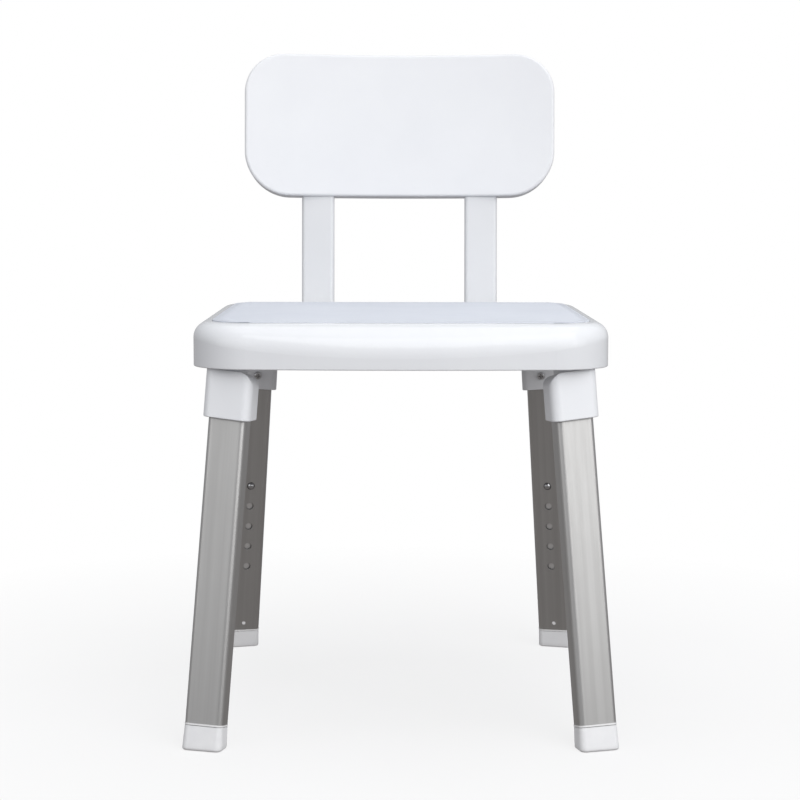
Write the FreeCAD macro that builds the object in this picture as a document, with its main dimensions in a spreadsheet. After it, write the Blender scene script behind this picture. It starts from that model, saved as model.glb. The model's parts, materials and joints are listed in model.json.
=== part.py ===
import FreeCAD, Part
import math
import os
import Sketcher

# Shower chair: moulded seat on four telescoping, splayed legs, with a curved backrest on two posts.
# Millimetres. +Z up, the floor is z = 0, the front of the chair faces -Y and +X is to the right
# of someone facing the chair. Each leg is modelled upright in its own frame, z = 0 on the floor
# along its axis and +Y towards the chair's centre, then placed at its splay.

SIZES = {
    # seat
    "seat_wide": 420,
    "seat_deep": 390,
    "seat_top": 420,
    "seat_skirt": 49,
    "seat_wall": 3.2,
    "seat_slope": 0.7,
    "seat_bow": 12,
    "seat_hem": 1.2,
    "front_corner": 62,
    "rear_corner": 45,
    "front_roll": 33,
    "front_end_roll": 25,
    "side_roll": 16,
    "rear_roll": 14,
    "cavity_roll_less": 2.5,
    "rib_thick": 2.4,
    "rib_drop": 14,
    "rib_pitch": 48,
    "boss_size": 10,
    "pilot_depth": 12,
    # non-slip panel, standing a little proud of the seat
    "panel_thick": 3.3,
    "panel_sunk": 2,
    "panel_wide": 384,
    "panel_front": 158,
    "panel_rear": 176,
    "panel_radius": 40,
    "panel_rear_radius": 28,
    "panel_gap": 0.3,
    "panel_edge": 0.8,
    # stance: where each leg's axis meets the floor, and how it leans
    "stance_across": 193.2,
    "stance_along": 221.3,
    "splay_across": 4,
    "splay_along": 10,
    "leg_turn": 16,
    # outer tube
    "tube_wide": 39.5,
    "tube_deep": 22,
    "tube_radius": 5.5,
    "tube_wall": 1.5,
    "tube_low": 24.8,
    "tube_high": 356,
    "hole_low": 106.9,
    "hole_pitch": 25.4,
    "hole_count": 5,
    "hole_size": 9,
    # inner tube
    "inner_wide": 34.5,
    "inner_deep": 17,
    "inner_radius": 3.5,
    "inner_wall": 1.4,
    "inner_low": 9,
    "inner_high": 234,
    # guide bush
    "bush_flange": 1.8,
    "bush_proud": 0.3,
    "bush_length": 20,
    "bush_play": 0.25,
    "bush_fit": 0.1,
    "snap_up": 8.6,
    "snap_size": 4.6,
    "snap_fit": 0.3,
    "snap_root": 0.4,
    "snap_proud": 0.3,
    # foot
    "foot_high": 22.4,
    "foot_flare": 3,
    "foot_edge": 2.5,
    "foot_step": 0.1,
    # lock button and its spring clip
    "button_size": 7.8,
    "button_proud": 3,
    "button_rim": 0.6,
    "rivet_size": 4,
    "rivet_long": 2,
    "clip_wide": 9,
    "clip_thick": 0.8,
    "clip_length": 30,
    "clip_over": 14,
    "clip_gap": 0.2,
    # leg socket: sleeve, core and mounting plate
    "socket_wide": 50,
    "socket_deep": 32,
    "socket_radius": 9,
    "socket_floor": 321.1,
    "socket_ceiling": 368.6,
    "socket_tilt": 5.5,
    "socket_round": 15,
    "socket_round_top": 372,
    "socket_hem": 1,
    "core_wide": 30,
    "core_deep": 24,
    "core_radius": 6,
    "core_shift": 6,
    "plate_wide": 66,
    "plate_deep": 56,
    "plate_radius": 10,
    "plate_thick": 4,
    "plate_level": 398,
    "plate_in": 12,
    "plate_back": 10,
    # screws and bolts
    "screw_size": 4,
    "screw_head": 8,
    "screw_head_high": 2.6,
    "screw_clear": 0.6,
    "head_sink": 1,
    "socket_screw_length": 15,
    "short_screw_length": 14,
    "tube_screw_size": 5,
    "tube_screw_head": 9,
    "tube_screw_head_high": 2.8,
    "tube_screw_length": 12,
    "tube_screw_level": 346,
    "bolt_size": 6,
    "bolt_head": 12,
    "bolt_head_high": 4,
    "bolt_length": 22,
    "bolt_level": 382,
    # back posts
    "post_wide": 38.5,
    "post_deep": 16,
    "post_radius": 4.5,
    "post_wall": 1.5,
    "post_apart": 194,
    "post_lean": 5.5,
    "post_low": 352,
    "post_high": 694,
    "post_gap": 4.6,
    "plug_head": 2,
    "plug_stem": 12,
    "holder_low": 346,
    "holder_high": 410,
    "holder_wall": 3.5,
    "holder_flange": 82,
    "holder_plate": 5,
    "holder_screw_in": 7,
    "holder_screw_up": 8,
    # backrest
    "back_wide": 366,
    "back_tall": 168,
    "back_low": 545.3,
    "back_thick": 27,
    "back_curve": 900,
    "back_top_corner": 47,
    "back_low_corner": 52,
    "back_edge": 3,
    "back_wall": 3,
    "back_rib": 2.4,
    "back_stiffener": 150,
    "back_screw_low": 40,
    "back_screw_high": 120,
    "post_room": 0.4,
    "cover_thick": 2.5,
    "cover_fit": 0.2,
    "back_rear_room": 8,
    "guide_end_gap": 14,
    "slot_end_gap": 5,
    "rib_bite": 0.5,
    # how far cutting tools run past what they cut
    "past": 1,
    "well_past": 5,
    "recess_reach": 12,
    "reach": 60,
}

# heights along a leg or above the floor that several pieces share
BUTTON_LEVEL = "(Sizes.hole_low + (Sizes.hole_count - 1) * Sizes.hole_pitch)"
SEAT_RIM = "(Sizes.seat_top - Sizes.seat_skirt)"
BACK_SCREW_LEVELS = (
    "(Sizes.back_low + Sizes.back_screw_low)",
    "(Sizes.back_low + Sizes.back_screw_high)",
)
# depth of the backrest's front surface on its centre line, from the posts' axis plane
FRONT_DEPTH = (
    "(Sizes.post_deep / 2 + Sizes.post_room + Sizes.cover_thick"
    " + Sizes.back_rear_room - Sizes.back_thick)"
)

# screws of a socket's plate: outward and away from the seat's middle, from the plate's centre
PLATE_SCREW_SPOTS = ((-26, -20), (-26, 18), (16, -21))
# shape of a lock button's dome: a point of its arc, as parts of the dome's height and radius
DOME_RISE, DOME_SPREAD = 0.72, 0.68
# shape of a pan head, as parts of its height and width
HEAD_ROUNDING, CROSS_DEEP, CROSS_LONG, CROSS_WIDE = 0.55, 0.5, 0.6, 0.14
# how near counts as lying on a flat or a curved face
ON_FLAT, ON_CURVE = 0.01, 0.05

CORNERS = {"front_left": (-1, -1), "front_right": (1, -1), "rear_left": (-1, 1), "rear_right": (1, 1)}
SIDES = {"left": -1, "right": 1}

doc = FreeCAD.newDocument("ShowerChair")
sheet = doc.addObject("Spreadsheet::Sheet", "Sizes")
for row, (alias, size) in enumerate(SIZES.items(), 1):
    sheet.set(f"A{row}", alias)
    sheet.set(f"B{row}", str(size))
    sheet.setAlias(f"B{row}", alias)
doc.recompute()

nodes = []


def value(expression):
    """The number that an expression on the sheet gives."""
    return float(sheet.evalExpression(expression.replace("Sizes.", "")))


def finished(obj, label):
    """Name an object as one of the chair's pieces."""
    obj.Label = label
    nodes.append(obj)
    return obj


# ---- sketches and features -------------------------------------------------------------------


def new_body(label):
    return doc.addObject("PartDesign::Body", "Body_" + label)


def new_sketch(body, plane, lift="0", shift="0"):
    """A sketch on one of a body's own planes, raised by lift and moved along its first axis by shift."""
    sketch = body.newObject("Sketcher::SketchObject", "Sketch")
    support = next(f for f in body.Origin.OriginFeatures if f.Role == plane)
    sketch.AttachmentSupport = [(support, "")]
    sketch.MapMode = "FlatFace"
    sketch.setExpression("AttachmentOffset.Base.z", lift)
    sketch.setExpression("AttachmentOffset.Base.x", shift)
    return sketch


def dimension(sketch, kind, *places, to):
    """Add a dimension whose length is an expression on the sheet."""
    index = sketch.addConstraint(Sketcher.Constraint(kind, *places, value(to)))
    sketch.setExpression(f"Constraints[{index}]", to)


def corner_arcs(corners):
    """Quarter arcs at a rectangle's corners, each given as (x, y, radius), and where each begins and ends."""
    arcs = []
    starts = []
    ends = []
    for turn, (x, y, radius) in enumerate(corners):
        centre = FreeCAD.Vector(x - math.copysign(radius, x), y - math.copysign(radius, y), 0)
        round_line = Part.Circle(centre, FreeCAD.Vector(0, 0, 1), radius)
        arc = Part.ArcOfCircle(round_line, math.radians(90 * (turn - 1)), math.radians(90 * turn))
        arcs.append(arc)
        starts.append(arc.StartPoint)
        ends.append(arc.EndPoint)
    return arcs, starts, ends


def rounded_rectangle(sketch, wide, deep, low_radius, high_radius=None):
    """A rectangle about the sketch's origin with rounded corners, all sizes expressions."""
    high_radius = high_radius or low_radius
    x, y = value(wide) / 2, value(deep) / 2
    low, high = value(low_radius), value(high_radius)
    arcs, starts, ends = corner_arcs([(x, -y, low), (x, y, high), (-x, y, high), (-x, -y, low)])
    first = sketch.GeometryCount
    for side in range(4):
        sketch.addGeometry(Part.LineSegment(ends[side - 1], starts[side]), False)
    for arc in arcs:
        sketch.addGeometry(arc, False)
    line = [first + n for n in range(4)]
    bend = [first + 4 + n for n in range(4)]
    for n in range(4):
        sketch.addConstraint(Sketcher.Constraint("Tangent", line[n], 2, bend[n], 1))
        sketch.addConstraint(Sketcher.Constraint("Tangent", bend[n], 2, line[(n + 1) % 4], 1))
    for flat in (line[0], line[2]):
        sketch.addConstraint(Sketcher.Constraint("Horizontal", flat))
    for upright in (line[1], line[3]):
        sketch.addConstraint(Sketcher.Constraint("Vertical", upright))
    sketch.addConstraint(Sketcher.Constraint("Equal", bend[0], bend[3]))
    sketch.addConstraint(Sketcher.Constraint("Equal", bend[1], bend[2]))
    dimension(sketch, "Radius", bend[0], to=low_radius)
    dimension(sketch, "Radius", bend[1], to=high_radius)
    dimension(sketch, "DistanceX", -1, 1, line[1], 1, to=f"({wide}) / 2")
    dimension(sketch, "DistanceX", line[3], 1, -1, 1, to=f"({wide}) / 2")
    dimension(sketch, "DistanceY", -1, 1, line[2], 1, to=f"({deep}) / 2")
    dimension(sketch, "DistanceY", line[0], 1, -1, 1, to=f"({deep}) / 2")


def tube_outline(sketch, part, wall="0"):
    """The rounded section of a tube or post, moved in by a wall thickness."""
    size = f"Sizes.{part}_wide - 2 * ({wall})", f"Sizes.{part}_deep - 2 * ({wall})"
    rounded_rectangle(sketch, *size, f"Sizes.{part}_radius - ({wall})")


def circle(sketch, across, up, size):
    """A circle at (across, up) in the sketch, sizes as expressions."""
    centre = FreeCAD.Vector(value(across), value(up), 0)
    round_line = Part.Circle(centre, FreeCAD.Vector(0, 0, 1), value(size) / 2)
    index = sketch.addGeometry(round_line, False)
    dimension(sketch, "Diameter", index, to=size)
    for kind, place in (("DistanceX", across), ("DistanceY", up)):
        if abs(value(place)) > 1e-9:
            dimension(sketch, kind, -1, 1, index, 3, to=place)
        else:
            axis = -2 if kind == "DistanceX" else -1
            sketch.addConstraint(Sketcher.Constraint("PointOnObject", index, 3, axis))


def polygon(sketch, points):
    """A closed outline through points, each an (across, up) pair of expressions."""
    corners = [FreeCAD.Vector(value(x), value(y), 0) for x, y in points]
    first = sketch.GeometryCount
    count = len(points)
    for n in range(count):
        sketch.addGeometry(Part.LineSegment(corners[n], corners[(n + 1) % count]), False)
    for n in range(count):
        line = first + n
        after = first + (n + 1) % count
        sketch.addConstraint(Sketcher.Constraint("Coincident", line, 2, after, 1))
        for kind, place in zip(("DistanceX", "DistanceY"), points[n]):
            dimension(sketch, kind, -1, 1, line, 1, to=place)


def settle(sketch):
    """Solve a sketch and stop if it doesn't hold together."""
    doc.recompute()
    if "Invalid" in sketch.State:
        owner = sketch.getParentGeoFeatureGroup().Name
        raise RuntimeError(f"{owner}: sketch fails, {sketch.solve()}, {sketch.RedundantConstraints}")


def pad(body, sketch, length, both_ways=False):
    settle(sketch)
    feature = body.newObject("PartDesign::Pad", "Pad")
    feature.Profile = sketch
    feature.setExpression("Length", length)
    feature.Midplane = both_ways
    feature.Refine = False
    doc.recompute()
    return feature


def pocket(body, sketch, length=None, both_ways=False):
    """Cut a sketch away: through everything, or to a length. A cut that removes nothing is an error."""
    settle(sketch)
    before = body.Shape.Volume
    feature = body.newObject("PartDesign::Pocket", "Pocket")
    feature.Profile = sketch
    feature.Midplane = both_ways
    feature.Refine = False
    if length:
        feature.setExpression("Length", length)
    else:
        feature.Type = "ThroughAll"
    doc.recompute()
    if body.Shape.Volume > before - 1e-3:
        raise RuntimeError(f"{body.Name}: a pocket cut nothing")
    return feature


def fillet(body, edges, radius):
    """Round the named edges of a body."""
    base = body.Tip
    feature = body.newObject("PartDesign::Fillet", "Fillet")
    feature.Base = (base, edges)
    feature.Refine = False
    feature.setExpression("Radius", radius)
    doc.recompute()


def part_object(kind, label, **links):
    """A Part workbench object, with its links set."""
    made = doc.addObject("Part::" + kind, label)
    for name, target in links.items():
        setattr(made, name, target)
    doc.recompute()
    return made


def cut(base, tool, label):
    return part_object("Cut", label, Base=base, Tool=tool)


def fuse(shapes, label):
    return part_object("MultiFuse", label, Shapes=shapes)


def common(shapes, label):
    return part_object("MultiCommon", label, Shapes=shapes)


def block(label, low, high):
    """A box between two corners, each three expressions."""
    box = doc.addObject("Part::Box", label)
    for name, a, b in zip(("Length", "Width", "Height"), low, high):
        box.setExpression(name, f"({b}) - ({a})")
    for name, a in zip("xyz", low):
        box.setExpression(f"Placement.Base.{name}", a)
    doc.recompute()
    return box


def rounded_edges(base, label, radii):
    """Fillet edges with one radius at each end: radii gives (first end, last end) or None."""
    edges = []
    for number, edge in enumerate(base.Shape.Edges, 1):
        ends = radii(edge)
        if ends:
            edges.append((number, ends[0], ends[1]))
    fillet = doc.addObject("Part::Fillet", label)
    fillet.Base = base
    fillet.Edges = edges
    doc.recompute()
    return fillet


def below(label, spot, tilt=0):
    """A large block whose top face passes through a point, tipped across the chair by an angle."""
    under = doc.addObject("Part::Box", label)
    under.setExpression("Length", "2 * Sizes.reach")
    under.setExpression("Width", "2 * Sizes.reach")
    under.setExpression("Height", "Sizes.reach")
    reach = value("Sizes.reach")
    to_corner = FreeCAD.Placement(FreeCAD.Vector(-reach, -reach, -reach), FreeCAD.Rotation())
    tipped = FreeCAD.Rotation(FreeCAD.Vector(0, 1, 0), tilt)
    under.Placement = FreeCAD.Placement(spot, tipped).multiply(to_corner)
    doc.recompute()
    return under


# ---- seat ------------------------------------------------------------------------------------


def seat_outline(sketch, inset):
    """The seat's plan: straight sides and back, and a bowed front whose two halves meet in the middle."""
    half_wide = value(f"Sizes.seat_wide / 2 - {inset}")
    half_deep = value(f"Sizes.seat_deep / 2 - {inset}")
    bow = value("Sizes.seat_bow")
    radius = (half_wide**2 + bow**2) / (2 * bow)
    bulge = FreeCAD.Vector(0, radius - half_deep, 0)
    reach = math.asin(half_wide / radius)
    front = Part.Circle(bulge, FreeCAD.Vector(0, 0, 1), radius)
    down = math.radians(270)
    left_rear = FreeCAD.Vector(-half_wide, half_deep, 0)
    right_rear = FreeCAD.Vector(half_wide, half_deep, 0)
    left_front = FreeCAD.Vector(-half_wide, bow - half_deep, 0)
    right_front = FreeCAD.Vector(half_wide, bow - half_deep, 0)
    sketch.addGeometry(Part.ArcOfCircle(front, down - reach, down), False)
    sketch.addGeometry(Part.ArcOfCircle(front, down, down + reach), False)
    sketch.addGeometry(Part.LineSegment(right_front, right_rear), False)
    sketch.addGeometry(Part.LineSegment(right_rear, left_rear), False)
    sketch.addGeometry(Part.LineSegment(left_rear, left_front), False)
    for n in range(5):
        sketch.addConstraint(Sketcher.Constraint("Coincident", n, 2, (n + 1) % 5, 1))
    sketch.addConstraint(Sketcher.Constraint("Coincident", 0, 3, 1, 3))
    sketch.addConstraint(Sketcher.Constraint("Vertical", 2))
    sketch.addConstraint(Sketcher.Constraint("PointOnObject", 0, 2, -2))
    sketch.addConstraint(Sketcher.Constraint("Symmetric", 3, 1, 3, 2, -2))
    sketch.addConstraint(Sketcher.Constraint("Symmetric", 0, 1, 1, 2, -2))
    dimension(sketch, "DistanceX", 3, 2, 3, 1, to=f"Sizes.seat_wide - 2 * {inset}")
    dimension(sketch, "DistanceY", -1, 1, 3, 1, to=f"Sizes.seat_deep / 2 - {inset}")
    dimension(sketch, "DistanceY", 0, 1, -1, 1, to=f"Sizes.seat_deep / 2 - {inset} - Sizes.seat_bow")
    half_chord = f"(Sizes.seat_wide / 2 - {inset})"
    dimension(sketch, "Radius", 0, to=f"({half_chord}^2 + Sizes.seat_bow^2) / (2 * Sizes.seat_bow)")


def seat_block(label, inset, bottom_drop, roll_less, hem):
    """The seat's outer form, or with an inset its cavity: bowed front, sloped top, rolled edges."""
    body = new_body(label)
    outline = new_sketch(body, "XY_Plane", f"{SEAT_RIM} - {bottom_drop}")
    seat_outline(outline, inset)
    pad(body, outline, f"Sizes.seat_skirt + {bottom_drop} - {inset}")
    fillet(body, upright_edges(body.Shape, at_front=True), f"Sizes.front_corner - {inset}")
    fillet(body, upright_edges(body.Shape, at_front=False), f"Sizes.rear_corner - {inset}")

    wedge = new_sketch(body, "YZ_Plane")
    top = f"Sizes.seat_top - {inset}"
    behind = "Sizes.seat_deep / 2 + Sizes.past"
    fall = "2 * (Sizes.seat_deep / 2 + Sizes.past) * tan(Sizes.seat_slope)"
    above = f"{top} + Sizes.well_past"
    ahead = f"-({behind})"
    polygon(wedge, [(behind, top), (behind, above), (ahead, above), (ahead, f"{top} - {fall}")])
    pocket(body, wedge, both_ways=True)
    return rounded_edges(body, label + "_rolled", lambda edge: seat_roll(edge, roll_less, hem))


def upright_edges(shape, at_front):
    """Names of the upright edges at the seat's four outer corners, front pair or rear pair."""
    wide = max(vertex.X for vertex in shape.Vertexes)
    found = []
    for number, edge in enumerate(shape.Edges, 1):
        low, high = edge.Vertexes[0].Point, edge.Vertexes[-1].Point
        upright = math.hypot(low.x - high.x, low.y - high.y) < 1e-6
        if upright and abs(low.x) > wide - 1e-6 and (low.y < 0) == at_front:
            found.append(f"Edge{number}")
    return found


def seat_roll(edge, less, hem):
    """Roll radius at both ends of one of the seat's edges: largest mid-front, least behind."""
    if edge.BoundBox.ZMax < value(f"{SEAT_RIM} + Sizes.past"):
        return (hem, hem) if hem else None
    if edge.BoundBox.ZMin < value("Sizes.seat_top - Sizes.seat_skirt / 2"):
        return None
    front_line = value("-Sizes.seat_deep / 2 + Sizes.front_corner / 2 + Sizes.seat_bow")
    rear_line = value("Sizes.seat_deep / 2 - Sizes.rear_corner / 2")

    def radius_at(place):
        if abs(place.x) < 1:
            return value("Sizes.front_roll") - less
        if place.y < front_line:
            return value("Sizes.front_end_roll") - less
        if place.y > rear_line:
            return value("Sizes.rear_roll") - less
        return value("Sizes.side_roll") - less

    first = edge.valueAt(edge.FirstParameter)
    last = edge.valueAt(edge.LastParameter)
    return radius_at(first), radius_at(last)


def slab_on_slope(label, thick, grow):
    """A rounded slab let into the sloped seat top, for the non-slip panel and its recess."""
    body = new_body(label)
    outline = new_sketch(body, "XY_Plane", "-Sizes.panel_sunk")
    rounded_rectangle(
        outline,
        f"Sizes.panel_wide + 2 * {grow}",
        f"Sizes.panel_front + Sizes.panel_rear + 2 * {grow}",
        f"Sizes.panel_radius + {grow}",
        f"Sizes.panel_rear_radius + {grow}",
    )
    pad(body, outline, thick)
    middle = value("(Sizes.panel_rear - Sizes.panel_front) / 2")
    fall = value("(Sizes.seat_deep / 2 + Sizes.past) * tan(Sizes.seat_slope)")
    fall -= middle * math.tan(math.radians(value("Sizes.seat_slope")))
    spot = FreeCAD.Vector(0, middle, value("Sizes.seat_top") - fall)
    tilt = FreeCAD.Rotation(FreeCAD.Vector(1, 0, 0), value("Sizes.seat_slope"))
    body.Placement = FreeCAD.Placement(spot, tilt)
    doc.recompute()
    return body


def plate_centre(corner):
    """Centre of a leg socket's mounting plate, moved in from the leg's axis."""
    sign_x, sign_y = CORNERS[corner]
    axis = leg_axis_at(corner, value("Sizes.plate_level"))
    return axis.x - sign_x * value("Sizes.plate_in"), axis.y - sign_y * value("Sizes.plate_back")


def plate_screws(corner):
    """The three screw places of a socket's plate, clear of the sleeve and its core."""
    sign_x, sign_y = CORNERS[corner]
    x, y = plate_centre(corner)
    return [(x + sign_x * outward, y + sign_y * along) for outward, along in PLATE_SCREW_SPOTS]


def cylinder(label, diameter, low, high, x, y):
    """An upright cylinder between two heights."""
    made = doc.addObject("Part::Cylinder", label)
    made.setExpression("Radius", f"({diameter}) / 2")
    made.setExpression("Height", f"({high}) - ({low})")
    made.setExpression("Placement.Base.z", low)
    made.Placement.Base = FreeCAD.Vector(x, y, value(low))
    return made


def seat_ribs():
    """Crossed ribs under the whole top, to be trimmed to the seat's cavity."""
    low = "Sizes.seat_top - Sizes.seat_wall - Sizes.rib_drop"
    wide, deep, top = "Sizes.seat_wide / 2", "Sizes.seat_deep / 2", "Sizes.seat_top"
    bars = []
    for step in range(-4, 5):
        near = f"{step} * Sizes.rib_pitch - Sizes.rib_thick / 2"
        far = f"{step} * Sizes.rib_pitch + Sizes.rib_thick / 2"
        bars.append(block(f"rib_x{step + 4}", (near, f"-{deep}", low), (far, deep, top)))
        bars.append(block(f"rib_y{step + 4}", (f"-{wide}", near, low), (wide, far, top)))
    return bars


def seat():
    """Hollow seat moulding with underside ribs, screw bosses and a recess for the panel."""
    outer = seat_block("seat_outer", 0, 0, 0, value("Sizes.seat_hem"))
    inset, less = value("Sizes.seat_wall"), value("Sizes.cavity_roll_less")
    cavity = seat_block("seat_cavity", inset, value("Sizes.past"), less, 0)
    shell = cut(outer, cavity, "seat_hollow")

    level = "Sizes.plate_level"
    bosses = []
    pilots = []
    for corner in CORNERS:
        for number, (x, y) in enumerate(plate_screws(corner)):
            name = f"{corner}_{number}"
            deep = f"{level} + Sizes.pilot_depth"
            bosses.append(cylinder("boss_" + name, "Sizes.boss_size", level, "Sizes.seat_top", x, y))
            pilots.append(cylinder("pilot_" + name, "Sizes.screw_size", level, deep, x, y))
    behind = value("Sizes.seat_deep / 2")
    near, far = behind - value("Sizes.pilot_depth"), behind + value("Sizes.past")
    for side, sign in SIDES.items():
        for number, (x, z) in enumerate(holder_screws(sign)):
            pilots.append(lying_cylinder(f"wall_hole_{side}_{number}", "Sizes.screw_size", x, z, near, far))
    inside = common([cavity, fuse(seat_ribs() + bosses, "ribs_and_bosses")], "seat_ribs")
    ribbed = fuse([shell, inside], "seat_ribbed")
    drilled = cut(ribbed, fuse(pilots, "pilot_holes"), "seat_drilled")
    recess = slab_on_slope("seat_recess", "Sizes.recess_reach", "Sizes.panel_gap")
    finished(cut(drilled, recess, "seat_moulding"), "seat_shell")


def seat_panel():
    """Non-slip panel in the seat's recess, its upper edge eased."""
    panel = slab_on_slope("seat_panel", "Sizes.panel_thick", "0")
    top = value("Sizes.panel_thick - Sizes.panel_sunk")
    flat = panel.Tip.Shape
    rim = [f"Edge{n}" for n, e in enumerate(flat.Edges, 1) if e.BoundBox.ZMin > top - ON_FLAT]
    fillet(panel, rim, "Sizes.panel_edge")
    finished(panel, "seat_panel")


# ---- legs ------------------------------------------------------------------------------------


def leg_direction(corner):
    """Unit vector up along a leg."""
    sign_x, sign_y = CORNERS[corner]
    across = math.tan(math.radians(value("Sizes.splay_across")))
    along = math.tan(math.radians(value("Sizes.splay_along")))
    return FreeCAD.Vector(-sign_x * across, -sign_y * along, 1).normalize()


def leg_foot_point(corner):
    sign_x, sign_y = CORNERS[corner]
    return FreeCAD.Vector(sign_x * value("Sizes.stance_across"), sign_y * value("Sizes.stance_along"), 0)


def leg_axis_at(corner, height):
    """The point of a leg's axis at a height above the floor."""
    up = leg_direction(corner)
    return leg_foot_point(corner) + up * (height / up.z)


def leg_placement(corner):
    """From a leg's own upright frame to its splayed place; its wide inner face is local +Y."""
    sign_x, sign_y = CORNERS[corner]
    up = leg_direction(corner)
    turn = math.radians(value("Sizes.leg_turn"))
    inward = FreeCAD.Vector(-sign_x * math.sin(turn), -sign_y * math.cos(turn), 0)
    inward = (inward - up * inward.dot(up)).normalize()
    across = inward.cross(up)
    turned = FreeCAD.Rotation(across, inward, up, "ZXY")
    return FreeCAD.Placement(leg_foot_point(corner), turned)


def facing_in(corner):
    """As leg_placement, but with local +X on the side of the chair's middle."""
    sign_x, sign_y = CORNERS[corner]
    half_turn = FreeCAD.Rotation(FreeCAD.Vector(0, 0, 1), 0 if sign_x == sign_y else 180)
    return leg_placement(corner).multiply(FreeCAD.Placement(FreeCAD.Vector(), half_turn))


def place_on_leg(obj, corner):
    obj.Placement = leg_placement(corner)
    doc.recompute()


def outer_tube(corner):
    """Oval tube with the row of height holes, the snap pin's hole and the fixing screw's hole."""
    body = new_body("outer_tube_" + corner)
    outline = new_sketch(body, "XY_Plane", "Sizes.tube_low")
    tube_outline(outline, "tube")
    pad(body, outline, "Sizes.tube_high - Sizes.tube_low")
    bore = new_sketch(body, "XY_Plane", "Sizes.tube_high")
    tube_outline(bore, "tube", "Sizes.tube_wall")
    pocket(body, bore)
    holes = new_sketch(body, "XZ_Plane")
    for number in range(int(value("Sizes.hole_count"))):
        circle(holes, "0", f"Sizes.hole_low + {number} * Sizes.hole_pitch", "Sizes.hole_size")
    circle(holes, "0", "Sizes.tube_low + Sizes.snap_up", "Sizes.snap_size")
    circle(holes, "0", "Sizes.tube_screw_level", "Sizes.tube_screw_size")
    pocket(body, holes)
    place_on_leg(body, corner)
    finished(body, "outer_tube_" + corner)


def inner_tube(corner):
    """Tube that slides in the outer one, with one hole for the lock button."""
    body = new_body("inner_tube_" + corner)
    outline = new_sketch(body, "XY_Plane", "Sizes.inner_low")
    tube_outline(outline, "inner")
    pad(body, outline, "Sizes.inner_high - Sizes.inner_low")
    bore = new_sketch(body, "XY_Plane", "Sizes.inner_high")
    tube_outline(bore, "inner", "Sizes.inner_wall")
    pocket(body, bore)
    hole = new_sketch(body, "XZ_Plane")
    circle(hole, "0", BUTTON_LEVEL, "Sizes.hole_size")
    pocket(body, hole)
    place_on_leg(body, corner)
    finished(body, "inner_tube_" + corner)


def guide_bush(corner):
    """Flanged plastic bush in the tube's lower end, held by a snap pin in the tube wall."""
    body = new_body("guide_bush_" + corner)
    flange = new_sketch(body, "XY_Plane", "Sizes.tube_low - Sizes.bush_flange")
    tube_outline(flange, "tube", "-Sizes.bush_proud")
    pad(body, flange, "Sizes.bush_flange")
    skirt = new_sketch(body, "XY_Plane", "Sizes.tube_low")
    tube_outline(skirt, "tube", "Sizes.tube_wall + Sizes.bush_fit / 2")
    pad(body, skirt, "Sizes.bush_length")
    pin = new_sketch(body, "XZ_Plane", "-Sizes.tube_deep / 2 - Sizes.snap_proud + Sizes.snap_root")
    circle(pin, "0", "Sizes.tube_low + Sizes.snap_up", "Sizes.snap_size - Sizes.snap_fit")
    pad(body, pin, "Sizes.tube_wall + Sizes.snap_root")
    bore = new_sketch(body, "XY_Plane", "Sizes.tube_low + Sizes.bush_length")
    tube_outline(bore, "inner", "-Sizes.bush_play")
    pocket(body, bore)
    place_on_leg(body, corner)
    finished(body, "guide_bush_" + corner)


def foot(corner):
    """Soft flared foot on the inner tube, its sole cut level with the floor."""
    body = new_body("foot_" + corner)
    low = new_sketch(body, "XY_Plane", "-Sizes.foot_high / 2")
    tube_outline(low, "tube", "-Sizes.foot_flare / 2")
    high = new_sketch(body, "XY_Plane", "Sizes.foot_high")
    tube_outline(high, "tube", "-Sizes.foot_step")
    loft = body.newObject("PartDesign::AdditiveLoft", "Flare")
    loft.Profile = low
    loft.Sections = [high]
    doc.recompute()
    bore = new_sketch(body, "XY_Plane", "Sizes.foot_high")
    tube_outline(bore, "inner")
    pocket(body, bore, "Sizes.foot_high - Sizes.inner_low")
    place_on_leg(body, corner)
    level = cut(body, below("floor_" + corner, leg_foot_point(corner)), "level_" + corner)
    soft = value("Sizes.foot_edge")

    def on_floor(edge):
        return (soft, soft) if edge.BoundBox.ZMax < ON_FLAT else None

    finished(rounded_edges(level, "soft_" + corner, on_floor), "foot_" + corner)


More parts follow.
